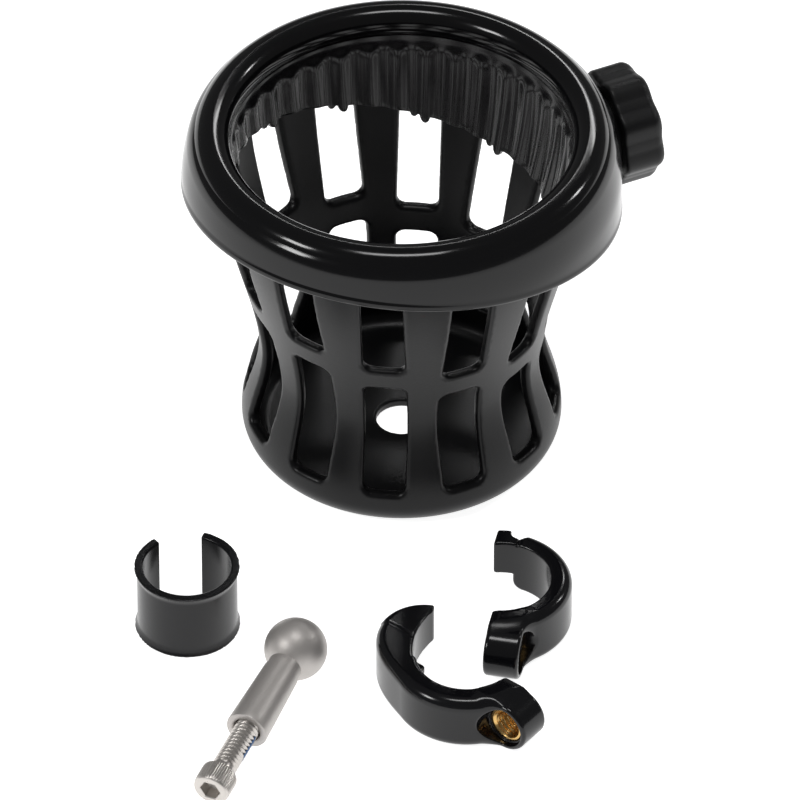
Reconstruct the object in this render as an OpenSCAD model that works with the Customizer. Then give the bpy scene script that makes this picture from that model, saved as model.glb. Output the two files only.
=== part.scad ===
/* [Cup cage] */
// Radius of the cage at its waist
waist_r = 36.6; // [34:0.1:40]
// Height of the waist above the table
waist_z = 31; // [26:0.5:36]
// Radius of the bulge just above the table
foot_r = 41.1; // [38:0.1:44]
// Height of the bulge's widest ring
foot_z = 7; // [6:0.5:9]
// Radius of the cage at its mouth
mouth_r = 47.3; // [45:0.1:50]
// Height of the cage's mouth
mouth_z = 92; // [86:0.5:98]
// Thickness of the cage wall
wall = 3.2; // [2.4:0.1:4]
// Thickness of the cage floor
floor_t = 2.5; // [2:0.1:4]
// Diameter of the drain hole in the floor
drain_d = 13; // [8:0.5:18]
// Slots in each of the two rows
slot_count = 12; // [10:1:12]
// Width of a slot
slot_w = 10.8; // [8:0.1:12]
// Corner radius of a slot
slot_corner = 2.4; // [1:0.1:3]
// Height of the lower edge of the lower slots
low_slot_z = 11; // [10:0.5:14]
// Height of the cross band's middle, on the cage's axis
band_z = 44; // [40:0.5:50]
// Height of the cross band
band_h = 7.2; // [4:0.1:9]
// Height of the upper edge of the upper slots
top_slot_z = 86; // [80:0.5:87]
// Fall of the cross band towards the mount side
band_lean = 13; // [0:0.5:15]

/* [Rim and collar] */
// How far the middle of the bead's roll stands outside the cage's mouth
bead_shift = 0.5; // [0:0.1:1]
// Radius of the bead's outer shoulder
bead_out = 5.2; // [4:0.1:6]
// Radius of the bead's inner shoulder
bead_in = 4.2; // [3:0.1:5]
// Height of the bead's top above the cage's mouth
bead_top = 8.4; // [7:0.1:10]
// How far the collar stands outside the cage's mouth, under the bead
collar_shift = 6.9; // [6.6:0.1:7.1]
// How far the collar flares outwards at its lower edge
collar_flare = 1.9; // [0:0.1:3]
// Thickness of the collar
collar_t = 2; // [1.6:0.1:3]
// Depth of the collar below the cage's mouth, on the cage's axis
collar_drop = 14.4; // [10:0.1:18]
// Fall of the collar's lower edge towards its deep side
collar_lean = 10; // [0:0.5:12]
// Direction of the collar's deep side
collar_lean_az = 62; // [0:1:90]
// Depth of the ribbed liner below the cage's mouth, on the cage's axis
liner_drop = 17; // [14:0.5:22]
// Thickness of the liner
liner_t = 1.2; // [1:0.1:2]
// Height of a liner rib
rib_h = 0.9; // [0.5:0.1:2]
// Width of a liner rib
rib_w = 3; // [1.5:0.1:3.6]
// Liner ribs for each slot
ribs_per_slot = 3; // [2:1:3]

/* [Ball joint] */
// Direction of the ball joint around the cage
mount_az = 25; // [10:1:40]
// Height of the ball joint's axis
mount_z = 79; // [78:0.5:81]
// Diameter of the ball
ball_d = 16; // [14:0.1:17]
// Distance from the cage's mouth out to the middle of the seated ball
ball_out = 12.7; // [12:0.1:14]
// Outer radius of the threaded stub
boss_r = 11; // [10.5:0.1:12]
// Outer diameter of the knob
knob_d = 30.4; // [29:0.1:34]
// Width of the knob
knob_w = 11; // [10.6:0.1:14]
// Distance from the cage's mouth out to the knob's inner face
knob_out = 9.3; // [9.2:0.1:10.5]
// Lobes around the knob
knob_lobes = 8; // [6:1:12]
// Diameter of the knob's mouth, which the stem passes through
knob_mouth_d = 13; // [12:0.1:14]
// Pitch of the knob's thread
knob_pitch = 2; // [1:0.25:3]

/* [Ball stud] */
// Distance from the middle of the ball to the end of the stem
stem_len = 31; // [26:0.5:36]
// Diameter of the stem's open end
stem_end_d = 11; // [10:0.1:12]
// Diameter of the stem's neck, at the ball
stem_neck_d = 8.7; // [8:0.1:10]
// Diameter of the cap screw's shank
screw_d = 6.35; // [5:0.05:8]
// Length of the cap screw's shank
screw_len = 25.4; // [20:0.1:30]
// Length of shank that shows between stem and head
screw_gap = 16.2; // [12:0.1:18]
// Diameter of the cap screw's head
head_d = 9.5; // [9:0.1:12]
// Height of the cap screw's head
head_h = 6.35; // [5:0.05:8]
// Width across the flats of the hex socket
hex_af = 4.76; // [4:0.01:6]
// Where the middle of the ball lies on the table, along X
stud_x = -26.7; // [-30:0.1:-22]
// Where the middle of the ball lies on the table, along Y
stud_y = -95.2; // [-100:0.1:-90]
// Direction from the ball to the screw's head
stud_az = 246.7; // [240:0.1:250]

/* [Tube clamp] */
// Diameter of the tube that the clamp holds
tube_d = 25.4; // [22:0.1:28]
// Axial width of the clamp
clamp_w = 15.2; // [14:0.1:18]
// Thickness of the clamp's ring
clamp_ring = 6.2; // [5:0.1:8]
// Distance from the tube's axis to the clamp screw's axis
ear_reach = 18.8; // [18.6:0.1:22]
// Thickness of an ear
ear_t = 9.6; // [8:0.1:12]
// Radius of an ear's round end
ear_r = 6.8; // [6:0.1:8]
// Outer diameter of a brass sleeve
insert_d = 9.8; // [9:0.1:10.4]
// Length of a brass sleeve
insert_len = 7; // [5:0.1:7.4]
// Gap between the two tightened halves at the ears
ear_gap = 1; // [0.5:0.1:2]
// Where the near half's tube axis stands, along X
near_x = 16.3; // [15:0.1:18]
// Where the near half's tube axis stands, along Y
near_y = -105; // [-107:0.1:-104]
// Direction of the near half's ear
near_az = -38; // [-42:1:-34]
// Where the far half's tube axis stands, along X
far_x = 25; // [24:0.1:28]
// Where the far half's tube axis stands, along Y
far_y = -75.9; // [-77:0.1:-74]
// Direction of the far half's ear
far_az = -102; // [-106:1:-98]

/* [Reducer bushing] */
// Diameter of the thinner tube that the bushing adapts to
small_tube_d = 22.2; // [19:0.1:23]
// Height of the bushing
bushing_h = 19.4; // [18:0.1:22]
// How far each end flange stands out
flange_out = 0.8; // [0.6:0.1:1.6]
// Thickness of an end flange
flange_t = 1.2; // [0.8:0.1:2]
// Angle of the bushing's open side
bushing_gap = 56; // [40:1:70]
// Direction of the bushing's open side
bushing_az = 100.5; // [90:0.5:110]
// Where the bushing stands, along X
bushing_x = -54.2; // [-58:0.1:-52]
// Where the bushing stands, along Y
bushing_y = -76.4; // [-80:0.1:-74]

/* [Hidden] */
$fn = 96;

// Clearances
fit_gap = 0.05;
body_gap = 0.35;
eps = 0.05;

// Cage outline: a smooth swell from the waist down to the foot and up to the mouth
foot_round = foot_z;
steps = 12;
function swell(u, k) = pow(sin(90 * u), k);
function cage_r(z) =
    z < waist_z
        ? waist_r + (foot_r - waist_r) * swell((waist_z - z) / (waist_z - foot_z), 2)
        : waist_r + (mouth_r - waist_r) * swell((z - waist_z) / (mouth_z - waist_z), 1.6);
function curve(z0, z1, off) =
    [for (i = [0:steps]) let (z = z0 + (z1 - z0) * i / steps) [cage_r(z) + off, z]];
function foot_arc(off) =
    [for (i = [0:6]) let (a = -90 + 15 * i)
        [foot_r - foot_round + (foot_round + off) * cos(a),
         foot_z + (foot_round + off) * sin(a)]];
function reversed(p) = [for (i = [len(p) - 1:-1:0]) p[i]];

slot_step = 360 / slot_count;
slot_az = 263.5;

// Stack at the mouth: the cage's lip, then the collar's web and the liner's flange, then the bead
bead_r = mouth_r + bead_shift;
collar_r = mouth_r + collar_shift;
lip_r = mouth_r + 4.3;
lip_t = 1.8;
web_t = 1.5;
bead_z0 = mouth_z + web_t + 2 * fit_gap;
top_z = mouth_z + bead_top;

// Ball joint, measured outwards along its own axis from the cage's axis
ball_reach = mouth_r + ball_out;
knob_reach = mouth_r + knob_out;
wall_out = cage_r(mount_z);
boss_in = wall_out - wall + 1.3;
boss_end = ball_reach + 1;
cup_r = boss_r - 1.4;
cavity_r = ball_d / 2 + 0.2;
ring_in = boss_end + body_gap;
mouth_depth = sqrt(cavity_r * cavity_r - knob_mouth_d * knob_mouth_d / 4);
ring_out = ball_reach + mouth_depth;
tab_r = wall_out + 3.2;
tab_h = 12;
boss_screw_d = 2.2;
boss_screw_head = 3.8;
boss_screw_az = asin(13.6 / wall_out);
rim_screw_d = 2.5;
rim_screw_head = 4.2;
rim_screw_r = mouth_r + 2.5;

// Ball stud and its cap screw, lying on the table
screw_gap_r = screw_d / 2 + body_gap;
patch_r = screw_d / 2 - 0.25;
stud_total = stem_len + screw_gap + head_h;
droop = asin((ball_d - head_d) / 2 / stud_total);

// Clamp
tube_r = tube_d / 2;
near_r = tube_r + clamp_ring;
far_r = tube_r + clamp_ring - 0.8;
insert_recess = 1.5;
screw_hole_d = screw_d + 0.4;

// Places children on a radial axis, which becomes their +Z
module radial(az, z) {
    rotate([0, 0, az]) translate([0, 0, z]) rotate([0, 90, 0]) children();
}

// Everything above a plane that falls towards a direction
module above(angle, az, z) {
    translate([0, 0, z]) rotate(a = angle, v = [-sin(az), cos(az), 0])
        translate([-100, -100, 0]) cube([200, 200, 120]);
}
function lean_z(angle, az, x, y) = -tan(angle) * (x * cos(az) + y * sin(az));

// The solid inside the cage's outline, moved in or out
module core(off) {
    rotate_extrude() polygon(concat([[0, waist_z]], curve(waist_z, mouth_z, off), [[0, mouth_z]]));
}

// A rectangle with round corners, built from circles
module round_rect(w, z0, z1, r) {
    translate([-w / 2 + r, z0]) square([w - 2 * r, z1 - z0]);
    translate([-w / 2, z0 + r]) square([w, z1 - z0 - 2 * r]);
    for (x = [-1, 1], z = [z0 + r, z1 - r])
        translate([x * (w / 2 - r), z]) circle(r = r);
}

// One radial cutter through the cage wall
module slot_cut(az, z0, z1) {
    rotate([90, 0, az + 90]) translate([0, 0, waist_r - 3 * wall])
        linear_extrude(mouth_r - waist_r + 5 * wall) round_rect(slot_w, z0, z1, slot_corner);
}

// Slots close to the ball joint stop below it
function slot_top(az) =
    cos(az - mount_az) > 0 && abs(wall_out * sin(az - mount_az)) < boss_r + slot_w / 2 + 3
        ? mount_z - boss_r - 3
        : top_slot_z;

module rim_screw_sites() {
    for (az = [80, 170, 260, 350]) rotate([0, 0, az]) translate([rim_screw_r, 0, 0]) children();
}

module boss_screw_sites() {
    for (s = [-1, 1]) radial(mount_az + s * boss_screw_az, mount_z) children();
}

module basket() {
    color([0.06, 0.06, 0.06]) difference() {
        union() {
            rotate_extrude() polygon(concat(
                foot_arc(0), curve(foot_z, waist_z, 0), curve(waist_z, mouth_z, 0),
                reversed(curve(waist_z, mouth_z, -wall)),
                reversed(curve(foot_z, waist_z, -wall)),
                [[foot_r - foot_round, floor_t], [0, floor_t], [0, 0]]));
            translate([0, 0, mouth_z - lip_t]) difference() {
                cylinder(r = lip_r, h = lip_t);
                translate([0, 0, -eps]) cylinder(r = mouth_r - wall / 2, h = lip_t + 2 * eps);
            }
        }
        translate([0, 0, -eps]) cylinder(d = drain_d, h = floor_t + 2 * eps);
        for (k = [0:slot_count - 1]) {
            az = slot_az + k * slot_step;
            rel = lean_z(band_lean, mount_az, waist_r * cos(az), waist_r * sin(az));
            slot_cut(az, low_slot_z, band_z - band_h / 2 + rel);
            slot_cut(az, band_z + band_h / 2 + rel, slot_top(az));
        }
        radial(mount_az, mount_z) translate([0, 0, 30]) cylinder(r = boss_r + fit_gap, h = 30);
        boss_screw_sites() translate([0, 0, 30]) cylinder(d = boss_screw_d + 2 * fit_gap, h = 30);
        boss_screw_sites() translate([0, 0, 30])
            cylinder(d = boss_screw_head + 2 * fit_gap, h = wall_out - wall + 1.7 - 30);
        rim_screw_sites() translate([0, 0, mouth_z - 6])
            cylinder(d = rim_screw_d + 2 * fit_gap, h = 12);
    }
}

module rim_bead() {
    color([0.02, 0.02, 0.02]) difference() {
        rotate_extrude() intersection() {
            union() {
                intersection() {
                    translate([bead_r, top_z - bead_out]) circle(r = bead_out);
                    translate([bead_r, 0]) square([20, top_z + 5]);
                }
                intersection() {
                    translate([bead_r, top_z - bead_in]) circle(r = bead_in);
                    translate([bead_r - 20, 0]) square([20 + eps, top_z + 5]);
                }
                translate([bead_r - bead_in, bead_z0])
                    square([bead_in + eps, top_z - bead_in - bead_z0]);
            }
            translate([0, bead_z0]) square([80, 30]);
        }
        rim_screw_sites() translate([0, 0, bead_z0 - 1])
            cylinder(d = rim_screw_d + 2 * fit_gap, h = 5.5);
    }
}

// Collar wall: a slight bell that is upright from a little below the bead
bell = 12;
collar_top = mouth_z + 4;
function collar_out(z) =
    collar_r + collar_flare * sin(90 * min(1, max(0, (collar_top - z) / bell)));
function collar_line(z0, z1, n, off) =
    [for (i = [0:n]) let (z = z0 + (z1 - z0) * i / n) [collar_out(z) + off, z]];

module collar() {
    web_z = mouth_z + fit_gap;
    color([0.02, 0.02, 0.02]) difference() {
        intersection() {
            rotate_extrude() polygon(concat(
                collar_line(mouth_z - 40, collar_top - bell, 1, 0),
                collar_line(collar_top - bell, collar_top, 6, 0),
                [[bead_r + bead_out + fit_gap, collar_top],
                 [bead_r + bead_out + fit_gap, web_z + web_t],
                 [mouth_r + fit_gap, web_z + web_t],
                 [mouth_r + fit_gap, web_z],
                 [collar_out(web_z) - collar_t, web_z]],
                reversed(collar_line(collar_top - bell, web_z - 2, 5, -collar_t)),
                [[collar_out(mouth_z - 40) - collar_t, mouth_z - 40]]));
            above(collar_lean, collar_lean_az, mouth_z - collar_drop);
        }
        radial(mount_az, mount_z) translate([0, 0, 30]) cylinder(r = boss_r + 0.2, h = 60);
        rim_screw_sites() translate([0, 0, mouth_z - 6])
            cylinder(d = rim_screw_d + 2 * fit_gap, h = 12);
    }
}

// One liner rib, a radial fin that follows the wall and ends just below the liner's edge
module liner_rib(az) {
    edge = mouth_z - liner_drop + lean_z(band_lean, mount_az, 42 * cos(az), 42 * sin(az));
    z0 = edge - 1.8;
    back = -wall - fit_gap - liner_t / 2;
    front = -wall - fit_gap - liner_t - rib_h;
    z1 = mouth_z - 0.7;
    n = 4;
    rotate([90, 0, az]) translate([0, 0, -rib_w / 2]) linear_extrude(rib_w)
        polygon(concat(
            [for (i = [0:n]) let (z = z0 + (z1 - z0) * i / n) [cage_r(z) + back, z]],
            [for (i = [n:-1:0]) let (z = z0 + (z1 - z0) * i / n) [cage_r(z) + front, z]]));
}

module ribbed_liner() {
    top = mouth_z + fit_gap;
    rib_step = slot_step / ribs_per_slot;
    color([0.03, 0.03, 0.03]) union() {
        intersection() {
            rotate_extrude() polygon(concat(
                curve(waist_z, mouth_z, -wall - fit_gap),
                [[mouth_r - wall - fit_gap, top],
                 [mouth_r - fit_gap, top],
                 [mouth_r - fit_gap, top + web_t],
                 [mouth_r - wall - fit_gap - liner_t, top + web_t]],
                reversed(curve(waist_z, mouth_z, -wall - fit_gap - liner_t))));
            above(band_lean, mount_az, mouth_z - liner_drop);
        }
        for (k = [0:slot_count * ribs_per_slot - 1]) liner_rib(slot_az + k * rib_step);
    }
}

module rim_screws() {
    color([0.55, 0.55, 0.57]) rim_screw_sites() {
        translate([0, 0, mouth_z - lip_t - fit_gap - 1.8]) difference() {
            cylinder(d = rim_screw_head, h = 1.8);
            translate([0, 0, -eps]) cylinder(d = 1.8, h = 1, $fn = 6);
        }
        translate([0, 0, mouth_z - lip_t - fit_gap - eps]) cylinder(d = rim_screw_d, h = 6.9);
    }
}

// Threaded stub with a tab on each side that follows the cage's wall
module socket_boss() {
    color([0.05, 0.05, 0.05]) difference() {
        union() {
            radial(mount_az, mount_z) translate([0, 0, boss_in])
                cylinder(r = boss_r, h = boss_end - boss_in);
            difference() {
                intersection() {
                    translate([0, 0, mount_z - tab_h / 2]) cylinder(r = tab_r, h = tab_h);
                    radial(mount_az, mount_z) translate([-tab_h / 2 - 1, -16.6, 30])
                        cube([tab_h + 2, 33.2, 30]);
                }
                core(fit_gap);
            }
        }
        radial(mount_az, mount_z) translate([0, 0, ball_reach - cavity_r - 1.2])
            cylinder(r = cup_r + fit_gap, h = 20);
        boss_screw_sites() translate([0, 0, 30]) cylinder(d = boss_screw_d + 2 * fit_gap, h = 30);
    }
}

// Low-friction seat behind the ball
module socket_cup() {
    back = ball_reach - cavity_r - 1.2 + fit_gap;
    color([0.8, 0.8, 0.76]) radial(mount_az, mount_z) difference() {
        translate([0, 0, back]) cylinder(r = cup_r, h = ball_reach - back);
        translate([0, 0, ball_reach]) sphere(r = cavity_r);
    }
}

module boss_screws() {
    seat = wall_out - wall + 1.7;
    color([0.55, 0.55, 0.57]) boss_screw_sites() {
        difference() {
            translate([0, 0, seat - 1.2 - fit_gap]) cylinder(d = boss_screw_head, h = 1.2);
            translate([0, 0, seat - 1.2 - fit_gap - eps]) cylinder(d = 1.6, h = 0.7, $fn = 6);
        }
        translate([0, 0, seat - fit_gap - eps]) cylinder(d = boss_screw_d, h = 4.4);
    }
}

// Ring that the knob presses on the ball's front
module compression_ring() {
    color([0.8, 0.8, 0.76]) radial(mount_az, mount_z) difference() {
        translate([0, 0, ring_in]) cylinder(r = boss_r - 0.5, h = ring_out - ring_in);
        translate([0, 0, ball_reach]) sphere(r = cavity_r);
        translate([0, 0, ring_in - eps]) cylinder(d = knob_mouth_d, h = 10);
    }
}

module lock_knob() {
    lobe_r = 4.2;
    lobe_turn = 10.5;
    color([0.05, 0.05, 0.05]) radial(mount_az, mount_z) difference() {
        translate([0, 0, knob_reach]) linear_extrude(knob_w) {
            circle(d = knob_d - 2);
            for (i = [0:knob_lobes - 1]) rotate(lobe_turn + i * 360 / knob_lobes)
                translate([knob_d / 2 - lobe_r, 0]) circle(r = lobe_r);
        }
        translate([0, 0, knob_reach - eps])
            cylinder(r = boss_r + body_gap, h = ring_out + body_gap - knob_reach + eps);
        translate([0, 0, knob_reach]) cylinder(d = knob_mouth_d, h = knob_w + eps);
    }
}

// The stud's own axis, from the ball's middle to the screw's head, becomes +Z
module stud_frame() {
    translate([stud_x, stud_y, ball_d / 2]) rotate([0, 90 + droop, stud_az]) children();
}

module ball_stud() {
    color([0.55, 0.54, 0.52]) stud_frame() difference() {
        union() {
            sphere(d = ball_d);
            cylinder(d1 = stem_neck_d, d2 = stem_end_d, h = stem_len);
        }
        translate([0, 0, stem_len - 26]) cylinder(r = screw_gap_r, h = 26 + eps);
    }
}

module patch_wedge(r, g) {
    translate([0, 0, stem_len + 1 - g]) intersection() {
        linear_extrude(8 + 2 * g)
            polygon([[-g, -g], [-g, g], [10, 9 + 2 * g], [20, 0], [10, -9 - 2 * g]]);
        cylinder(r = r, h = 8 + 2 * g);
    }
}

module cap_screw() {
    z0 = stem_len + screw_gap;
    color([0.7, 0.7, 0.72]) stud_frame() difference() {
        union() {
            translate([0, 0, z0 - screw_len]) cylinder(d = screw_d, h = screw_len + eps);
            translate([0, 0, z0]) cylinder(d = head_d, h = head_h);
        }
        translate([0, 0, z0 + head_h - 3.2]) cylinder(d = hex_af / cos(30), h = 4, $fn = 6);
        difference() {
            rotate(patch_turn) patch_wedge(screw_d, 0.03);
            translate([0, 0, stem_len]) cylinder(r = patch_r, h = 12);
        }
    }
}

// Dried thread-locking patch, level with the crests of the thread
patch_turn = 58;
module threadlock_patch() {
    color([0.05, 0.25, 0.75]) stud_frame() difference() {
        rotate(patch_turn) patch_wedge(screw_d / 2, 0);
        translate([0, 0, stem_len]) cylinder(r = patch_r + 0.02, h = 12);
    }
}

// Half-plane on one side of the clamp's split
module half_side(s) {
    translate([-60, s > 0 ? ear_gap / 2 : -60 - ear_gap / 2]) square([120, 60]);
}

// An ear on one side of the split, with the clamp screw's axis along Y
module ear(s) {
    y0 = s > 0 ? ear_gap / 2 : -ear_t;
    len_y = ear_t - ear_gap / 2;
    translate([ear_reach, y0, clamp_w / 2]) rotate([-90, 0, 0]) intersection() {
        cylinder(r = ear_r, h = len_y);
        translate([-20, -clamp_w / 2, 0]) cube([40, clamp_w, len_y]);
    }
    translate([tube_r - 0.5, y0, clamp_w / 2 - ear_r]) cube([ear_reach - tube_r, len_y, 2 * ear_r]);
}

// Pocket and bores of the clamp screw
module ear_bores(s) {
    out = s > 0 ? 0 : 180;
    translate([ear_reach, 0, clamp_w / 2]) rotate([-90 + out, 0, 0]) {
        translate([0, 0, ear_t - insert_recess]) cylinder(d = insert_d + 1.2, h = 20);
        translate([0, 0, ear_t - insert_recess - insert_len - fit_gap])
            cylinder(d = insert_d + 2 * fit_gap, h = insert_len + 10);
        translate([0, 0, -1]) cylinder(d = screw_hole_d + 0.4, h = ear_t + 2);
    }
}

module insert(s) {
    out = s > 0 ? 0 : 180;
    translate([ear_reach, 0, clamp_w / 2]) rotate([-90 + out, 0, 0])
        translate([0, 0, ear_t - insert_recess - insert_len]) difference() {
            cylinder(d = insert_d, h = insert_len);
            translate([0, 0, -eps]) cylinder(d = screw_hole_d, h = insert_len + 2 * eps);
        }
}

hook_r = 12;
hook_x = -13.4;
hook_y = -0.3;
hook_h = 10.8;
hook_end = -8.1;
hook_end_az = 38;
// The hook's inner face leaves the bore here and follows a wider curve
rabbet_x = 6.6;
rabbet_y = 7.6;
rabbet_r = 23.4;
rabbet_start = -8.5;
tongue_z = clamp_w - 10.4;
notch_r = 2.2;

module clamp_half_near() {
    color([0.03, 0.03, 0.03]) translate([near_x, near_y, 0]) rotate(near_az) difference() {
        union() {
            linear_extrude(clamp_w) intersection() {
                union() {
                    circle(r = near_r);
                    translate([hook_x, hook_y]) circle(r = hook_r);
                }
                half_side(-1);
            }
            translate([0, 0, clamp_w - hook_h]) linear_extrude(hook_h) intersection() {
                translate([hook_x, hook_y]) circle(r = hook_r);
                rotate(hook_end_az) translate([-60 + hook_end, -30]) square([60, 60]);
            }
            ear(-1);
        }
        translate([0, 0, -eps]) cylinder(r = tube_r, h = clamp_w + 2 * eps);
        translate([0, 0, clamp_w - hook_h - eps]) linear_extrude(hook_h + 2 * eps) intersection() {
            translate([rabbet_x, rabbet_y]) circle(r = rabbet_r);
            translate([-40, rabbet_start]) square([40, 40]);
        }
        ear_bores(-1);
    }
}

module clamp_half_far() {
    color([0.03, 0.03, 0.03]) translate([far_x, far_y, 0]) rotate(far_az) difference() {
        union() {
            linear_extrude(clamp_w) intersection() {
                circle(r = far_r);
                half_side(1);
            }
            translate([0, 0, tongue_z]) linear_extrude(clamp_w - tongue_z) intersection() {
                circle(r = far_r);
                translate([-60, -4.4]) square([60, 20]);
            }
            ear(1);
        }
        translate([0, 0, -eps]) cylinder(r = tube_r, h = clamp_w + 2 * eps);
        translate([-far_r + 0.6, 1.4, -eps]) cylinder(r = notch_r, h = clamp_w + 2 * eps);
        ear_bores(1);
    }
}

module brass_insert_near() {
    color([0.78, 0.6, 0.3]) translate([near_x, near_y, 0]) rotate(near_az) insert(-1);
}

module brass_insert_far() {
    color([0.78, 0.6, 0.3]) translate([far_x, far_y, 0]) rotate(far_az) insert(1);
}

// Split sleeve with a flange at each end and an open side
module reducer_bushing() {
    r0 = small_tube_d / 2;
    r1 = tube_r;
    rf = tube_r + flange_out;
    g = bushing_gap / 2;
    color([0.04, 0.04, 0.04]) translate([bushing_x, bushing_y, 0]) difference() {
        rotate_extrude() polygon([
            [r0, 0], [rf, 0], [rf, flange_t / 2], [r1 + flange_out / 3, flange_t],
            [r1, flange_t + 1], [r1, bushing_h - flange_t - 1],
            [r1 + flange_out / 3, bushing_h - flange_t], [rf, bushing_h - flange_t / 2],
            [rf, bushing_h], [r0, bushing_h]]);
        rotate(bushing_az) translate([0, 0, -eps]) linear_extrude(bushing_h + 2 * eps)
            polygon([[0, 0], [40 * cos(g), -40 * sin(g)], [80, 0], [40 * cos(g), 40 * sin(g)]]);
    }
}

basket();
rim_bead();
collar();
ribbed_liner();
rim_screws();
socket_boss();
socket_cup();
boss_screws();
compression_ring();
lock_knob();
ball_stud();
cap_screw();
threadlock_patch();
clamp_half_near();
clamp_half_far();
brass_insert_near();
brass_insert_far();
reducer_bushing();
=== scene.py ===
import math
import numpy as np
import bpy
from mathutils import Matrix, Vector


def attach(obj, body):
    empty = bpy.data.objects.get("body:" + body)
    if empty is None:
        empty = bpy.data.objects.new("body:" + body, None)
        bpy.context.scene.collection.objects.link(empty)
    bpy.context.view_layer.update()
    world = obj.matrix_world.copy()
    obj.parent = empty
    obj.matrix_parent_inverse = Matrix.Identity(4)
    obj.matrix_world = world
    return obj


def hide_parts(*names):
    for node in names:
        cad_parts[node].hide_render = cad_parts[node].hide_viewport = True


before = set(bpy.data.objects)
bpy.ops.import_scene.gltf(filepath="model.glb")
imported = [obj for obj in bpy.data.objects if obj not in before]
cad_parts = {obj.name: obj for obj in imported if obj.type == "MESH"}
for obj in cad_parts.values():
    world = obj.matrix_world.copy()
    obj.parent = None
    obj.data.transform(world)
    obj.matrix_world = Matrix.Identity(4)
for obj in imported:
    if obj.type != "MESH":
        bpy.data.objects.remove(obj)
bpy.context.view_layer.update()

# ---------------------------------------------------------------- sizes, mm and degrees
WAIST_R, WAIST_Z, FOOT_R, FOOT_Z, MOUTH_R, MOUTH_Z = 36.6, 31.0, 41.1, 7.0, 47.3, 92.0
WALL, FLOOR_T, DRAIN_R = 3.2, 2.5, 6.5
SLOTS, SLOT_W, SLOT_C, SLOT_AZ = 12, 10.8, 2.4, 263.5
LOW_Z, BAND_Z, BAND_H, TOP_Z, LEAN = 11.0, 44.0, 7.2, 86.0, 13.0
BEAD_R, BEAD_OUT, BEAD_IN, RIM_Z = 47.8, 5.2, 4.2, 100.4
LIP_R, LIP_IN, LIP_Z, LIP_HALF = 51.6, 1.6, 91.1, 0.9
COLLAR_R, FLARE, COLLAR_T, EDGE_R = 54.2, 1.9, 2.0, 55.5
COLLAR_DROP, COLLAR_LEAN, COLLAR_AZ = 14.4, 10.0, 62.0
LINER_DROP, LINER_T, RIB_H, RIB_W = 17.0, 1.2, 0.65, 2.9
MOUNT_AZ, MOUNT_Z, MOUNT_WALL_R = 25.0, 79.0, 46.4
BALL_R, REACH, BOSS_R, RING_R = 8.0, 60.0, 11.0, 8.2
KNOB_R, KNOB_W, KNOB_IN, KNOB_MOUTH, DISH_R = 15.2, 11.0, 56.6, 6.5, 11.2
LOBES, LOBE_R, LOBE_AZ = 8, 4.2, 10.5
STEM, STEM_R, NECK_R, SCREW_R, SCREW_L, GAP = 31.0, 5.5, 4.35, 3.175, 25.4, 16.2
HEAD_R, HEAD_H, HEX, PITCH, KNURLS = 4.75, 6.35, 4.76, 1.27, 44
TUBE_R, CLAMP_W, RING, EAR_X, EAR_T, EAR_R = 12.7, 15.2, 6.2, 18.8, 9.6, 6.8
FAR_R, HOOK_H, TONGUE_H = TUBE_R + RING - 0.8, 10.8, 10.4
HOOK_LOBE, RECESS, RECESS_Y = (-13.4, -0.3, 12), (6.6, 7.6, 23.4), -8.5
POCKET, POCKET_R, SEAT_DEPTH, SEAT_R, HOLE_R = 1.5, 5.5, 8.6, 4.93, 3.58
SLEEVE_L, SLEEVE_R = 7.0, 4.86
BUSH_H, BUSH_BORE_R, BUSH_GAP = 19.4, 11.1, 28

# where the loose pieces lie: x, y and the turn about +Z
STUD = (-26.7, -95.2, 246.7)
NEAR, FAR = (16.3, -105.0, -38.0), (25.0, -75.9, -102.0)
BUSH = (-54.2, -76.4, 100.5)


# ---------------------------------------------------------------- mesh tools
def add_mesh(name, verts, faces, body, normals=None, mats=()):
    """A mesh object from points in mm, riding on a body."""
    me = bpy.data.meshes.new(name)
    me.from_pydata((np.asarray(verts) / 1000.0).tolist(), [], [list(map(int, f)) for f in faces])
    me.update()
    ob = bpy.data.objects.new(name, me)
    bpy.context.collection.objects.link(ob)
    me.polygons.foreach_set("use_smooth", [True] * len(me.polygons))
    for m in mats:
        me.materials.append(m)
    if normals is not None:
        me.normals_split_custom_set_from_vertices([tuple(map(float, n)) for n in normals])
    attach(ob, body)
    return ob


def grid_faces(n, m, wrap_n=True, wrap_m=True, base=0):
    """Quads of an n by m grid of points, closed along n and m unless told otherwise."""
    i = np.arange(n if wrap_n else n - 1)
    j = np.arange(m if wrap_m else m - 1)
    a, b = np.meshgrid(i, j, indexing="ij")
    a2, b2 = (a + 1) % n, (b + 1) % m
    q = np.stack([a * m + b, a2 * m + b, a2 * m + b2, a * m + b2], axis=-1)
    return q.reshape(-1, 4) + base


def arc(cx, cy, r, a0, a1, n):
    """n points of a circle from angle a0 to a1, in degrees."""
    t = np.radians(np.linspace(a0, a1, n))
    return [(cx + r * math.cos(x), cy + r * math.sin(x)) for x in t]


def spin(profile, n=128):
    """Points of a profile (r, z) turned round +Z: an n by len(profile) grid."""
    p = np.array(profile, float)
    t = np.linspace(0, 2 * np.pi, n, endpoint=False)[:, None]
    return np.stack([np.cos(t) * p[:, 0], np.sin(t) * p[:, 0], 0 * t + p[:, 1]], axis=-1)


def rot_y(d):
    c, s = math.cos(math.radians(d)), math.sin(math.radians(d))
    return np.array([[c, 0, s], [0, 1, 0], [-s, 0, c]])


def rot_z(d):
    c, s = math.cos(math.radians(d)), math.sin(math.radians(d))
    return np.array([[c, -s, 0], [s, c, 0], [0, 0, 1]])


def shade_sharp(ob, angle=38):
    """Creases stay crisp and everything flatter stays smooth."""
    ob.data.set_sharp_from_angle(angle=math.radians(angle))


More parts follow.
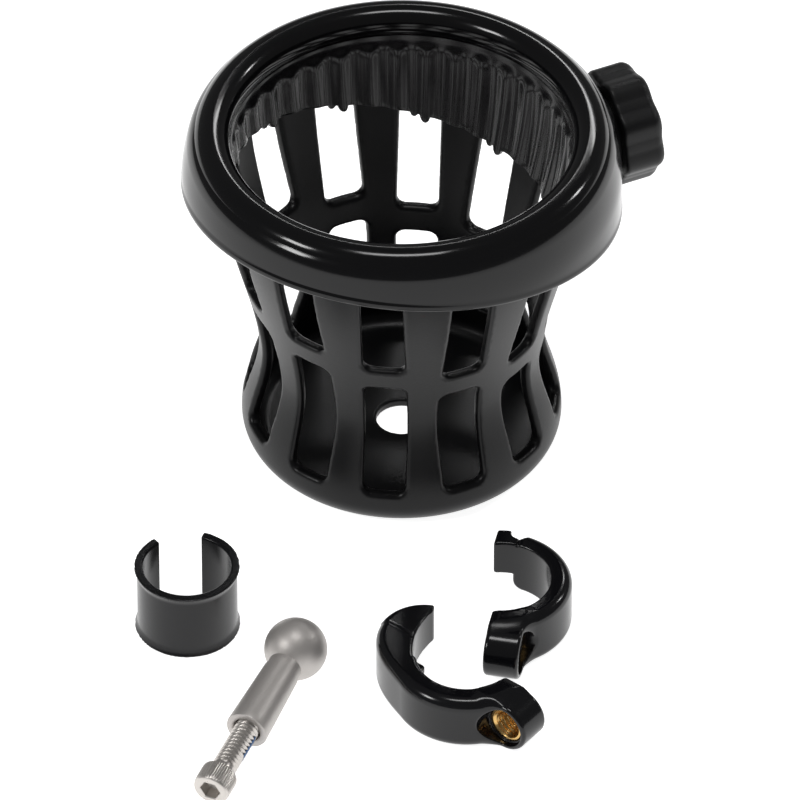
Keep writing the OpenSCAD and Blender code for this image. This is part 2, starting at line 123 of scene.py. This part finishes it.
def rmax(a, b, r):
    """Intersection of two distance fields with a rounded edge."""
    return np.minimum(np.maximum(a, b), -r) + np.hypot(np.maximum(a + r, 0), np.maximum(b + r, 0))


def rmin(a, b, r):
    """Union of two distance fields with a fillet."""
    return -rmax(-a, -b, r)


def field_mesh(f, low, high, h):
    """Points, quads and normals of a distance field's surface, kept inside low and high."""
    ax = [np.arange(low[i] - 1.5 * h, high[i] + 2.5 * h, h) for i in range(3)]
    g = np.meshgrid(*ax, indexing="ij")
    d = f(*g).astype(np.float32)
    inside = d < 0
    n = np.array(d.shape) - 1
    corner = [(i, j, k) for i in (0, 1) for j in (0, 1) for k in (0, 1)]

    def part(a, c):
        return a[c[0]:c[0] + n[0], c[1]:c[1] + n[1], c[2]:c[2] + n[2]]

    count = sum(part(inside, c).astype(np.int8) for c in corner)
    act = (count > 0) & (count < 8)
    cell = np.argwhere(act)
    index = np.full(tuple(n), -1, np.int64)
    index[act] = np.arange(len(cell))
    total, hits = np.zeros((len(cell), 3)), np.zeros(len(cell))
    for a in corner:
        for k in range(3):
            if a[k]:
                continue
            b = tuple(a[i] + (i == k) for i in range(3))
            da, db = part(d, a)[act], part(d, b)[act]
            m = (da < 0) != (db < 0)
            t = da[m] / (da[m] - db[m])
            pos = np.tile(np.array(a, float), (m.sum(), 1))
            pos[:, k] += t
            total[m] += pos
            hits[m] += 1
    v = (cell + total / hits[:, None]) * h + np.array([a[0] for a in ax])
    faces = []
    for k in range(3):
        u, w = (k + 1) % 3, (k + 2) % 3
        sl0, sl1 = [slice(None)] * 3, [slice(None)] * 3
        sl0[k], sl1[k] = slice(0, -1), slice(1, None)
        s0, s1 = inside[tuple(sl0)], inside[tuple(sl1)]
        for flip in (False, True):
            e = np.argwhere((s0 & ~s1) if not flip else (~s0 & s1))
            e = e[(e[:, u] > 0) & (e[:, w] > 0)]
            du, dw = np.eye(3, dtype=int)[u], np.eye(3, dtype=int)[w]
            q = [index[tuple((e - x).T)] for x in (du * 0, du, du + dw, dw)]
            q = np.stack(q if not flip else q[::-1], axis=-1)
            faces.append(q[(q >= 0).all(axis=1)])
    faces = np.concatenate(faces)

    def slope(p, e=0.01):
        out = []
        for k in range(3):
            s = np.zeros(3)
            s[k] = e
            out.append((f(*(p + s).T) - f(*(p - s).T)) / (2 * e))
        return np.stack(out, axis=-1)

    for _ in range(4):
        s = slope(v)
        step = s * (f(*v.T) / np.maximum((s * s).sum(axis=1), 0.2))[:, None]
        size = np.linalg.norm(step, axis=1, keepdims=True)
        v = v - step * np.minimum(1, 0.5 * h / np.maximum(size, 1e-9))
    v = np.clip(v, low, high)
    s = slope(v, 0.04)
    s /= np.maximum(np.linalg.norm(s, axis=1, keepdims=True), 1e-6)
    return v, faces, s


def make_field(name, f, low, high, h, body, mats=(), move=None):
    """A piece from a distance field, turned and shifted from its own frame by move."""
    v, faces, nrm = field_mesh(f, low, high, h)
    if move is not None:
        turn, shift = move
        v = v @ turn.T + np.array(shift)
        nrm = nrm @ turn.T
    return add_mesh(name, v, faces, body, nrm, mats)


# ---------------------------------------------------------------- materials
def shader(name, color, rough, metallic=0.0, coat=0.0, scale=900.0, rough_var=0.05,
           bump=0.02, tint=0.15, stretch=(1, 1, 1), spec=0.5):
    """Moulded or machined surface: noise drives its colour, roughness and fine relief."""
    mat = bpy.data.materials.new(name)
    mat.use_nodes = True
    nt = mat.node_tree
    b = nt.nodes["Principled BSDF"]
    co = nt.nodes.new("ShaderNodeTexCoord")
    mp = nt.nodes.new("ShaderNodeMapping")
    mp.inputs["Scale"].default_value = stretch
    nt.links.new(co.outputs["Object"], mp.inputs["Vector"])
    fine = nt.nodes.new("ShaderNodeTexNoise")
    fine.inputs["Scale"].default_value = scale
    fine.inputs["Detail"].default_value = 4
    nt.links.new(mp.outputs["Vector"], fine.inputs["Vector"])
    broad = nt.nodes.new("ShaderNodeTexNoise")
    broad.inputs["Scale"].default_value = scale * 0.06
    nt.links.new(mp.outputs["Vector"], broad.inputs["Vector"])
    ramp = nt.nodes.new("ShaderNodeMix")
    ramp.data_type = "RGBA"
    ramp.inputs["A"].default_value = (*[c * (1 - tint) for c in color], 1)
    ramp.inputs["B"].default_value = (*[min(1, c * (1 + tint)) for c in color], 1)
    nt.links.new(broad.outputs["Fac"], ramp.inputs["Factor"])
    nt.links.new(ramp.outputs["Result"], b.inputs["Base Color"])
    rr = nt.nodes.new("ShaderNodeMapRange")
    rr.inputs["To Min"].default_value = max(0.02, rough - rough_var)
    rr.inputs["To Max"].default_value = rough + rough_var
    nt.links.new(fine.outputs["Fac"], rr.inputs["Value"])
    nt.links.new(rr.outputs["Result"], b.inputs["Roughness"])
    bp = nt.nodes.new("ShaderNodeBump")
    bp.inputs["Strength"].default_value = bump
    bp.inputs["Distance"].default_value = 0.0002
    nt.links.new(fine.outputs["Fac"], bp.inputs["Height"])
    nt.links.new(bp.outputs["Normal"], b.inputs["Normal"])
    b.inputs["Metallic"].default_value = metallic
    b.inputs["Coat Weight"].default_value = coat
    b.inputs["Coat Roughness"].default_value = 0.04
    b.inputs["Specular IOR Level"].default_value = spec
    return mat


satin_black = shader("satin_black", (0.004, 0.004, 0.0045), 0.40,
                     bump=0.12, scale=1800, tint=0.2, spec=0.22)
cage_black = shader("cage_black", (0.0035, 0.0035, 0.004), 0.34,
                    bump=0.08, scale=1500, tint=0.2, spec=0.22)
knob_black = shader("knob_black", (0.005, 0.005, 0.0055), 0.42,
                    bump=0.16, scale=1600, tint=0.2, spec=0.25)
bush_black = shader("bush_black", (0.004, 0.004, 0.005), 0.24,
                    bump=0.05, scale=900, tint=0.25, spec=0.3)
gloss_black = shader("gloss_black", (0.003, 0.003, 0.0035), 0.13, rough_var=0.03,
                     bump=0.012, scale=260, tint=0.3, spec=0.32)
liner_black = shader("liner_black", (0.004, 0.004, 0.0045), 0.2, rough_var=0.03,
                     bump=0.0, scale=300, tint=0.3, spec=0.42)
clamp_black = shader("clamp_black", (0.004, 0.004, 0.005), 0.16, rough_var=0.04,
                     bump=0.03, scale=420, tint=0.3, spec=0.35)
stud_metal = shader("stud_metal", (0.50, 0.475, 0.455), 0.48, metallic=0.7, rough_var=0.06,
                    bump=0.12, scale=1300, tint=0.06)
screw_steel = shader("screw_steel", (0.56, 0.53, 0.50), 0.30, metallic=0.8, rough_var=0.07,
                     bump=0.05, scale=900, tint=0.08)
patch_blue = shader("patch_blue", (0.01, 0.07, 0.20), 0.6, bump=0.6, scale=2200, tint=0.35)
brass = shader("brass", (0.62, 0.40, 0.15), 0.26, metallic=1.0, rough_var=0.07, bump=0.08,
               scale=1500, tint=0.10)
seat = shader("seat", (0.72, 0.71, 0.66), 0.5, bump=0.1, scale=1200, tint=0.05)
zinc = shader("zinc", (0.58, 0.58, 0.6), 0.3, metallic=1.0, bump=0.06, scale=1200, tint=0.06)

# the inner CAD nodes that stay as they are
for node, mat in {"rim_screws": zinc, "boss_screws": zinc, "socket_boss": satin_black,
                  "socket_cup": seat, "compression_ring": seat}.items():
    data = bpy.data.objects[node].data
    data.materials.clear()
    data.materials.append(mat)


# ---------------------------------------------------------------- cage
def cage_r(z):
    """The cage's outer radius at height z: foot, waist and mouth."""
    low = WAIST_R + (FOOT_R - WAIST_R) * np.sin(
        np.pi / 2 * np.clip((WAIST_Z - z) / (WAIST_Z - FOOT_Z), 0, 1)) ** 2
    up = WAIST_R + (MOUTH_R - WAIST_R) * np.sin(
        np.pi / 2 * np.clip((z - WAIST_Z) / (MOUTH_Z - WAIST_Z), 0, 1)) ** 1.6
    return np.where(z < WAIST_Z, low, up)


def fall(angle, az, x, y):
    """Height of a plane through the axis that drops by angle towards az."""
    a = math.radians(az)
    return -math.tan(math.radians(angle)) * (x * math.cos(a) + y * math.sin(a))


def cage_field(x, y, z):
    r = np.hypot(x, y)
    cr = FOOT_R - FOOT_Z
    foot = np.where(r > cr, np.hypot(r - cr, z - FOOT_Z) - FOOT_Z, -z)
    outer = np.where(z >= FOOT_Z, r - cage_r(z), foot)
    cave = rmax(r - (cage_r(np.maximum(z, FOOT_Z)) - WALL), FLOOR_T - z, 4.0)
    shell = rmax(rmax(outer, -cave, 0.3), z - MOUTH_Z, 0.3)
    lip = np.maximum(np.maximum(r - LIP_R, (MOUTH_R - LIP_IN) - r), np.abs(z - LIP_Z) - LIP_HALF)
    az = np.degrees(np.arctan2(y, x))
    step = 360.0 / SLOTS
    k = np.round((az - SLOT_AZ) / step)
    mid = SLOT_AZ + k * step
    side = r * np.sin(np.radians(az - mid))
    ma = np.radians(mid)
    rel = fall(LEAN, MOUNT_AZ, WAIST_R * np.cos(ma), WAIST_R * np.sin(ma))
    off = np.radians(mid - MOUNT_AZ)
    near = (np.cos(off) > 0) & (np.abs(MOUNT_WALL_R * np.sin(off)) < BOSS_R + SLOT_W / 2 + 3)
    top = np.where(near, MOUNT_Z - BOSS_R - 3, TOP_Z)

    def slot(z0, z1):
        qx = np.abs(side) - (SLOT_W / 2 - SLOT_C)
        qz = np.abs(z - (z0 + z1) / 2) - ((z1 - z0) / 2 - SLOT_C)
        corner = np.hypot(np.maximum(qx, 0), np.maximum(qz, 0))
        return corner + np.minimum(np.maximum(qx, qz), 0) - SLOT_C

    holes = np.minimum(slot(LOW_Z, BAND_Z - BAND_H / 2 + rel),
                       slot(BAND_Z + BAND_H / 2 + rel, top))
    holes = np.where(r > 25, holes, 50.0)
    d = rmax(shell, -holes, 1.3)
    d = rmin(d, lip, 0.5)
    return rmax(d, -(r - DRAIN_R), 0.6)


cage = make_field("cage_shell", cage_field, (-52, -52, 0), (52, 52, 92), 0.8, "holder",
                  [cage_black])
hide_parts("basket")

# ---------------------------------------------------------------- bead
z_in, z_out, z_low = RIM_Z - BEAD_IN, RIM_Z - BEAD_OUT, MOUTH_Z + 1.6
low_out = math.degrees(math.asin((z_low - z_out) / BEAD_OUT))
prof = arc(BEAD_R, z_out, BEAD_OUT, low_out, 90, 22) + arc(BEAD_R, z_in, BEAD_IN, 90, 180, 20)[1:]
prof += [(BEAD_R - BEAD_IN, z_low + 0.4), (BEAD_R - BEAD_IN + 0.4, z_low)]
P = spin(prof, 192)
bead = add_mesh("bead_roll", P.reshape(-1, 3), grid_faces(*P.shape[:2]), "holder",
                mats=[gloss_black])
shade_sharp(bead, 50)
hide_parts("rim_bead")


# ---------------------------------------------------------------- collar
def collar_out(z):
    return COLLAR_R + FLARE * math.sin(math.pi / 2 * min(1, max(0, (96 - z) / 12)))


rows = []
for i in range(240):
    t = 2 * math.pi * i / 240
    ex, ey = EDGE_R * math.cos(t), EDGE_R * math.sin(t)
    ze = MOUTH_Z - COLLAR_DROP + fall(COLLAR_LEAN, COLLAR_AZ, ex, ey)
    # the top edge, which hugs the bead, then the outer face, the lower edge and the inner face
    pr = [(52.42, 97.6), (52.92, 97.15), (53.4, 96.6), (53.8, 95.9), (54.12, 95.1), (54.32, 94.6)]
    for s in np.linspace(0, 1, 16):
        z = 94.0 + (ze + 2.2 - 94.0) * s
        pr.append((collar_out(z) - 0.22, z))
    rl = collar_out(ze)
    pr += [(rl - 0.16, ze + 1.75), (rl - 0.03, ze + 1.35), (rl, ze + 0.9), (rl - 0.05, ze + 0.4),
           (rl - 0.35, ze + 0.08), (rl - 0.9, ze + 0.02), (rl - COLLAR_T + 0.3, ze + 0.1),
           (rl - COLLAR_T, ze + 0.5)]
    for s in np.linspace(0.08, 1, 8):
        z = ze + (92.1 - ze) * s
        pr.append((collar_out(z) - COLLAR_T, z))
    pr += [(47.4, 92.1), (47.4, 93.5), (53.15, 93.5)]
    rows.append([(r * math.cos(t), r * math.sin(t), z) for r, z in pr])
P = np.array(rows)
collar = add_mesh("collar_skirt", P.reshape(-1, 3), grid_faces(*P.shape[:2]), "holder",
                  mats=[gloss_black])
shade_sharp(collar, 50)
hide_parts("collar")

# ---------------------------------------------------------------- liner
def wall_in(z):
    """The radius of the cage's inside at height z, less a small clearance."""
    return float(cage_r(np.array(min(z, MOUTH_Z)))) - WALL - 0.05


rows = []
n_az, rib_step = 36 * 20, 10.0
for i in range(n_az):
    deg = SLOT_AZ + 360.0 * i / n_az
    t = math.radians(deg)
    off = (deg - SLOT_AZ + 2) % rib_step
    off = math.radians(min(off, rib_step - off)) * 41.0
    rib = (0.5 + 0.5 * math.cos(min(math.pi, off * math.pi / (RIB_W / 2 + 1.6)))) ** 0.8
    # a wide and a narrow tail hang side by side at each slot
    at = math.radians((deg - SLOT_AZ + 15) % 30 - 15) * 42.0
    tail = max(1.75 * math.sqrt(max(0.0, 1 - ((at + 1.5) / 1.35) ** 2)),
               1.0 * math.sqrt(max(0.0, 1 - ((at - 1.6) / 0.95) ** 2)))
    ze = MOUTH_Z - LINER_DROP + fall(LEAN, MOUNT_AZ, 42 * math.cos(t), 42 * math.sin(t)) - tail
    pr = [(wall_in(ze) - LINER_T * 0.35, ze),
          (wall_in(ze) - LINER_T * 0.75 - 0.4 * RIB_H * rib, ze + 0.12),
          (wall_in(ze) - LINER_T - 0.75 * RIB_H * rib, ze + 0.5)]
    for f in np.linspace(0, 1, 34):
        z = ze + 1.1 + (93.3 - ze - 1.1) * f
        cap = min(1.0, max(0.0, (92.2 - z) / 4.5))
        cap = cap * cap * (3 - 2 * cap)
        ease = min(1.0, max(0.0, (z - 89.5) / 3.8))
        ease = ease * ease * (3 - 2 * ease)
        pr.append((wall_in(z) - LINER_T - RIB_H * rib * cap + 0.8 * ease, z))
    pr += [(43.72, 93.55), (47.2, 93.55), (47.2, 92.1), (44.0, 92.1)]
    for f in np.linspace(1, 0, 12):
        z = ze + 0.3 + (91.8 - ze - 0.3) * f
        pr.append((wall_in(z) - 0.02, z))
    rows.append([(r * math.cos(t), r * math.sin(t), z) for r, z in pr])
P = np.array(rows)
liner = add_mesh("liner_ribs", P.reshape(-1, 3), grid_faces(*P.shape[:2]), "holder",
                 mats=[liner_black])
shade_sharp(liner, 55)
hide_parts("ribbed_liner")

# ---------------------------------------------------------------- knob
radial = (rot_z(MOUNT_AZ) @ rot_y(90), (0, 0, MOUNT_Z))


def knob_field(x, y, z):
    r = np.hypot(x, y)
    step = 2 * math.pi / LOBES
    a = np.arctan2(y, x) - math.radians(LOBE_AZ)
    a = a - step * np.round(a / step)
    lobe = np.hypot(r * np.cos(a) - (KNOB_R - LOBE_R), r * np.sin(a)) - LOBE_R
    out = rmin(r - (KNOB_R - 1.0), lobe, 0.8)
    d = rmax(rmax(out, z - (KNOB_IN + KNOB_W), 2.4), KNOB_IN - z, 1.0)
    dish = rmax(r - DISH_R, (KNOB_IN + KNOB_W - 0.7) - z, 0.3)
    d = rmax(d, -dish, 0.4)
    depth = REACH + math.sqrt(RING_R ** 2 - KNOB_MOUTH ** 2) + 0.35
    bore = rmax(r - (BOSS_R + 0.35), z - depth, 0.3)
    d = rmax(d, -bore, 0.5)
    return rmax(d, -(r - KNOB_MOUTH), 0.6)


knob = make_field("knob_body", knob_field, (-KNOB_R, -KNOB_R, KNOB_IN),
                  (KNOB_R, KNOB_R, KNOB_IN + KNOB_W), 0.45, "knob", [knob_black], move=radial)
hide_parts("lock_knob")

# ---------------------------------------------------------------- ball stud and screw
# it lies on its ball and on the screw's head, so its axis dips towards the head
total = STEM + GAP + HEAD_H
droop = math.degrees(math.asin((2 * BALL_R - 2 * HEAD_R) / 2 / total))
stud_turn = rot_z(STUD[2]) @ rot_y(90 + droop)
stud_at = np.array((STUD[0], STUD[1], BALL_R))


def place(P):
    """Points along the stud's own axis, laid down where the stud lies."""
    return P.reshape(-1, 3) @ stud_turn.T + stud_at


neck_a = math.degrees(math.asin(NECK_R / BALL_R)) + 0.5
prof = [(0.02, -BALL_R)]
for a in np.radians(np.linspace(2, 180 - neck_a, 48)):
    prof.append((BALL_R * math.sin(a), -BALL_R * math.cos(a)))
zn = prof[-1][1]
prof += [(NECK_R + 0.06, zn + 0.5), (NECK_R + 0.03, zn + 1.2)]
for s in np.linspace(0.12, 1, 12):
    z = zn + (STEM - 0.5 - zn) * s
    prof.append((NECK_R + (STEM_R - NECK_R) * z / STEM, z))
prof += [(STEM_R - 0.12, STEM - 0.15), (STEM_R - 0.45, STEM), (4.1, STEM), (3.7, STEM - 0.25),
         (3.53, STEM - 0.6), (3.53, STEM - 12), (3.5, STEM - 25.5), (0.02, STEM - 25.8)]
P = spin(prof, 128)
stud = add_mesh("stud_body", place(P), grid_faces(*P.shape[:2], wrap_m=False), "stud",
                mats=[stud_metal])
shade_sharp(stud, 40)
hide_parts("ball_stud")

# shank with a rolled thread, then the knurled head with its hex recess
z0 = STEM + GAP
n_a, per = 64, 12
zs = np.arange(z0 - SCREW_L + 0.3, z0 - 1.6, PITCH / per)
P = np.zeros((n_a, len(zs) + 4, 3))
for i in range(n_a):
    a = 2 * math.pi * i / n_a
    u = (zs / PITCH - a / (2 * math.pi)) % 1.0
    cut = np.clip(np.abs(u - 0.5) * 2 * 1.25 - 0.1, 0, 1)
    fade = np.clip(np.minimum((zs - zs[0]) / 1.2, (zs[-1] - zs) / 1.0), 0.05, 1)
    r = SCREW_R - 0.02 - 0.62 * (1 - cut) * fade
    r = np.minimum(r, 2.7 + (zs - zs[0]) / 0.9 * 0.5)
    rr = np.concatenate([[0.02], [2.4], r, [SCREW_R - 0.05, SCREW_R - 0.05]])
    zz = np.concatenate([[z0 - SCREW_L], [z0 - SCREW_L], zs, [z0 - 1.2, z0 + 0.1]])
    P[i] = np.stack([rr * math.cos(a), rr * math.sin(a), zz], axis=-1)
verts, faces = [place(P)], [list(q) for q in grid_faces(n_a, P.shape[1], wrap_m=False)]
base = len(verts[0])
n_h = KNURLS * 6
prof = [(SCREW_R - 0.06, 0.02), (HEAD_R - 0.35, 0.0), (HEAD_R - 0.08, 0.25), (HEAD_R - 0.02, 0.6),
        (HEAD_R, 0.9), (HEAD_R, 4.9), (HEAD_R - 0.04, 5.3), (HEAD_R - 0.12, 5.6), (HEAD_R - 0.3, 6.05),
        (HEAD_R - 0.62, 6.3), (HEAD_R - 1.0, 6.35)]
wave = [0, 0, 0.3, 0.9, 1, 1, 0.9, 0.4, 0, 0, 0]
Q = np.zeros((n_h, len(prof) + 6, 3))
for i in range(n_h):
    a = 2 * math.pi * i / n_h
    t = (i * KNURLS / n_h) % 1.0
    groove = 0.16 * (1 - abs(2 * t - 1)) ** 1.5
    pts = [(r - groove * w, z) for (r, z), w in zip(prof, wave)]
    # hex recess: flats at HEX / 2, with a small countersink
    seg = (a + math.pi / 6) % (math.pi / 3) - math.pi / 6
    hx = HEX / 2 / math.cos(seg)
    pts += [(hx + 0.25, 6.33), (hx, 6.12), (hx, 3.3), (hx * 0.97, 3.15), (1.2, 2.75), (0.02, 2.5)]
    Q[i] = [(r * math.cos(a), r * math.sin(a), z0 + z) for r, z in pts]
verts.append(place(Q))
faces += [list(q) for q in grid_faces(n_h, Q.shape[1], wrap_m=False, base=base)]
screw = add_mesh("screw_body", np.concatenate(verts), faces, "bolt", mats=[screw_steel])
shade_sharp(screw, 32)
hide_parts("cap_screw")

# threadlock patch: a thin, slightly uneven film on the thread, 19 to 97 degrees round
rng = np.random.default_rng(4)
rows = []
for a in np.radians(np.linspace(19, 97, 40)):
    row = []
    w0, w1 = 0.25 * rng.random(), 0.35 * rng.random()
    for z in np.linspace(STEM + 1.1 + w0, STEM + 8.9 - w1, 36):
        u = (z / PITCH - a / (2 * math.pi)) % 1.0
        r = SCREW_R - 0.012 - 0.14 * (1 - min(1, abs(u - 0.5) * 2.4)) + 0.008 * rng.random()
        row.append((r * math.cos(a), r * math.sin(a), z))
    row += [(2.93 * math.cos(a), 2.93 * math.sin(a), STEM + z) for z in (8.7, 1.3)]
    rows.append(row)
P = np.array(rows)
m = P.shape[1]
pf = [list(q) for q in grid_faces(*P.shape[:2], wrap_n=False)]
pf += [list(range(m)), list(range((len(rows) - 1) * m, len(rows) * m))[::-1]]
patch = add_mesh("thread_patch", place(P), pf, "bolt", mats=[patch_blue])
shade_sharp(patch, 60)
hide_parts("threadlock_patch")


# ---------------------------------------------------------------- clamp halves
def circle(x, y, cx, cy, r):
    return np.hypot(x - cx, y - cy) - r


def ear_field(x, y, z, s):
    """The screw ear, on the side of the split that s says."""
    tip = np.hypot(np.maximum(x - EAR_X, 0), z - CLAMP_W / 2) - EAR_R
    tip = np.maximum(tip, 11.5 - x)
    return rmax(tip, np.abs(s * y - (EAR_T + 0.5) / 2) - (EAR_T - 0.5) / 2, 0.9)


def bore_ear(d, x, y, z, s):
    """Cuts the screw pocket, the sleeve's seat and the hole into the ear."""
    hole = np.hypot(x - EAR_X, z - CLAMP_W / 2)
    out = s * y
    d = rmax(d, -np.maximum(hole - POCKET_R, (EAR_T - POCKET) - out), 0.35)
    d = np.maximum(d, -np.maximum(hole - SEAT_R, (EAR_T - SEAT_DEPTH) - out))
    return rmax(d, -(hole - HOLE_R), 0.2)


def near_field(x, y, z):
    lobe = circle(x, y, *HOOK_LOBE)
    flat = rmin(circle(x, y, 0, 0, TUBE_R + RING), lobe, 6.0)
    half = CLAMP_W / 2
    d = rmax(rmax(flat, y + 0.5, 0.5), np.abs(z - half) - half, 2.9)
    c, s = math.cos(math.radians(38)), math.sin(math.radians(38))
    hook = rmax(lobe, np.abs(z - (CLAMP_W - HOOK_H / 2)) - HOOK_H / 2, 2.4)
    hook = np.maximum(rmax(hook, x * c + y * s + 8.1, 0.4), -(y + 3))
    d = rmin(d, hook, 0.4)
    d = rmin(d, ear_field(x, y, z, -1), 2.6)
    cut = np.maximum(circle(x, y, *RECESS), np.maximum(x, RECESS_Y - y))
    d = rmax(d, -np.maximum(cut, CLAMP_W - HOOK_H - z), 0.5)
    d = rmax(d, -circle(x, y, 0, 0, TUBE_R), 0.6)
    d = bore_ear(d, x, y, z, -1)
    return np.maximum(d, y - np.where(x > 0, -0.5, 40))


def far_field(x, y, z):
    d = rmax(circle(x, y, 0, 0, FAR_R), -(y - 0.5), 0.4)
    half = CLAMP_W / 2
    d = rmax(d, np.abs(z - half) - half, 2.6)
    tongue = rmax(circle(x, y, 0, 0, FAR_R), np.maximum(-(y + 4.4), x), 0.4)
    tongue = rmax(tongue, np.abs(z - (CLAMP_W - TONGUE_H / 2)) - TONGUE_H / 2, 0.9)
    tongue = np.maximum(tongue, y - 1.5)
    d = rmin(d, tongue, 0.3)
    d = rmin(d, ear_field(x, y, z, 1), 2.6)
    d = rmax(d, -circle(x, y, -FAR_R + 0.6, 1.4, 2.2), 0.4)
    d = rmax(d, -circle(x, y, 0, 0, TUBE_R), 0.6)
    d = bore_ear(d, x, y, z, 1)
    return np.maximum(d, -y + np.where(x > 0, 0.5, -40))


for name, field, at, body, node, low, high in (
        ("clamp_near_body", near_field, NEAR, "clamp_near", "clamp_half_near",
         (-26, -20, 0), (26, 12, CLAMP_W)),
        ("clamp_far_body", far_field, FAR, "clamp_far", "clamp_half_far",
         (-20, -6, 0), (26, 20, CLAMP_W))):
    ob = make_field(name, field, low, high, 0.45, body, [clamp_black],
                    move=(rot_z(at[2]), (at[0], at[1], 0)))
    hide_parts(node)

# brass sleeves: chamfered rim, turned face, threaded bore
for name, at, body, s, node in (("sleeve_near", NEAR, "clamp_near", -1, "brass_insert_near"),
                                ("sleeve_far", FAR, "clamp_far", 1, "brass_insert_far")):
    z1 = EAR_T - POCKET
    z0s = z1 - SLEEVE_L
    n_a = 72
    zt = np.arange(z1 - 0.6, z0s + 0.4, -PITCH / 8)
    rows = []
    for i in range(n_a):
        a = 2 * math.pi * i / n_a
        u = (zt / PITCH - a / (2 * math.pi)) % 1.0
        thread = 3.39 + 0.42 * np.abs(u - 0.5) * 2
        pr = [(4.5, z0s), (SLEEVE_R, z0s + 0.3), (SLEEVE_R, z1 - 0.35), (4.6, z1 - 0.03), (4.3, z1),
              (4.05, z1 - 0.02), (3.86, z1 - 0.25)]
        pr += list(zip(thread, zt)) + [(3.5, z0s + 0.1), (3.8, z0s)]
        rows.append([(r * math.cos(a), r * math.sin(a), z) for r, z in pr])
    P = np.array(rows).reshape(-1, 3)
    q = np.stack([EAR_X + P[:, 0], s * P[:, 2], CLAMP_W / 2 + P[:, 1]], axis=-1)
    q = q @ rot_z(at[2]).T + np.array((at[0], at[1], 0))
    ob = add_mesh(name, q, grid_faces(n_a, len(rows[0])), body, mats=[brass])
    shade_sharp(ob, 35)
    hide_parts(node)


# ---------------------------------------------------------------- bushing
def bushing_field(x, y, z):
    r = np.hypot(x, y)
    end = np.minimum(z, BUSH_H - z)
    flare = 0.8 * np.clip(1 - end / 2.3, 0, 1) ** 1.7
    d = rmax(r - (TUBE_R + flare), -(r - BUSH_BORE_R), 0.45)
    d = rmax(d, np.abs(z - BUSH_H / 2) - BUSH_H / 2, 0.35)
    a = np.arctan2(y, x)
    g = math.radians(BUSH_GAP)
    wedge = r * np.sin(np.clip(np.abs(a) - g, -1.5, 1.5))
    return rmax(d, -wedge, 0.5)


bush = make_field("bushing_body", bushing_field, (-14, -14, 0), (14, 14, BUSH_H), 0.45, "bushing",
                  [bush_black], move=(rot_z(BUSH[2]), (BUSH[0], BUSH[1], 0)))
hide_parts("reducer_bushing")

# ---------------------------------------------------------------- floor, light, camera
FLOOR = 12    # half the floor's side, m
me = bpy.data.meshes.new("floor")
me.from_pydata([(-FLOOR, -FLOOR, 0), (FLOOR, -FLOOR, 0), (FLOOR, FLOOR, 0), (-FLOOR, FLOOR, 0)],
               [], [(0, 1, 2, 3)])
floor = bpy.data.objects.new("floor", me)
bpy.context.collection.objects.link(floor)
floor_mat = shader("floor_white", (0.9, 0.9, 0.9), 0.9, scale=4, bump=0.0, tint=0.005, spec=0.0)
floor_glow = floor_mat.node_tree.nodes["Principled BSDF"]
floor_glow.inputs["Emission Color"].default_value = (1, 1, 1, 1)
floor_glow.inputs["Emission Strength"].default_value = 0.9
me.materials.append(floor_mat)

world = bpy.data.worlds.new("studio") if not bpy.data.worlds else bpy.data.worlds[0]
bpy.context.scene.world = world
world.use_nodes = True
world.node_tree.nodes["Background"].inputs[0].default_value = (1, 1, 1, 1)
world.node_tree.nodes["Background"].inputs[1].default_value = 0.16


def softbox(name, at, aim, size, power):
    """A rectangular area light at one point, aimed at another; metres and watts."""
    li = bpy.data.lights.new(name, "AREA")
    li.shape, li.size, li.size_y, li.energy = "RECTANGLE", size[0], size[1], power
    ob = bpy.data.objects.new(name, li)
    ob.location = at
    ob.rotation_euler = (Vector(aim) - Vector(at)).to_track_quat("-Z", "Y").to_euler()
    bpy.context.collection.objects.link(ob)


softbox("window_box", (-0.95, -0.55, 0.95), (0, 0, 0.05), (0.30, 0.26), 5.5)
softbox("side_box", (1.05, 0.4, 0.8), (0, 0, 0.05), (0.12, 0.16), 1.8)
softbox("back_strip", (0.25, 1.05, 0.95), (0, 0, 0.05), (0.5, 0.08), 2.2)
softbox("top_box", (0.0, -0.1, 1.3), (0, -0.03, 0), (0.45, 0.22), 4.0)

cam = bpy.data.cameras.new("camera")
cam.lens, cam.sensor_width = 614.0, 36.0
cam.clip_start, cam.clip_end = 0.1, 20
cam_ob = bpy.data.objects.new("camera", cam)
cam_ob.location = (-0.00043, -2.6401, 2.3181)
cam_ob.rotation_euler = (math.radians(90 - 41.186), 0, 0)
bpy.context.collection.objects.link(cam_ob)
sc = bpy.context.scene
sc.camera = cam_ob
sc.view_settings.view_transform = "Standard"
sc.view_settings.look = "None"
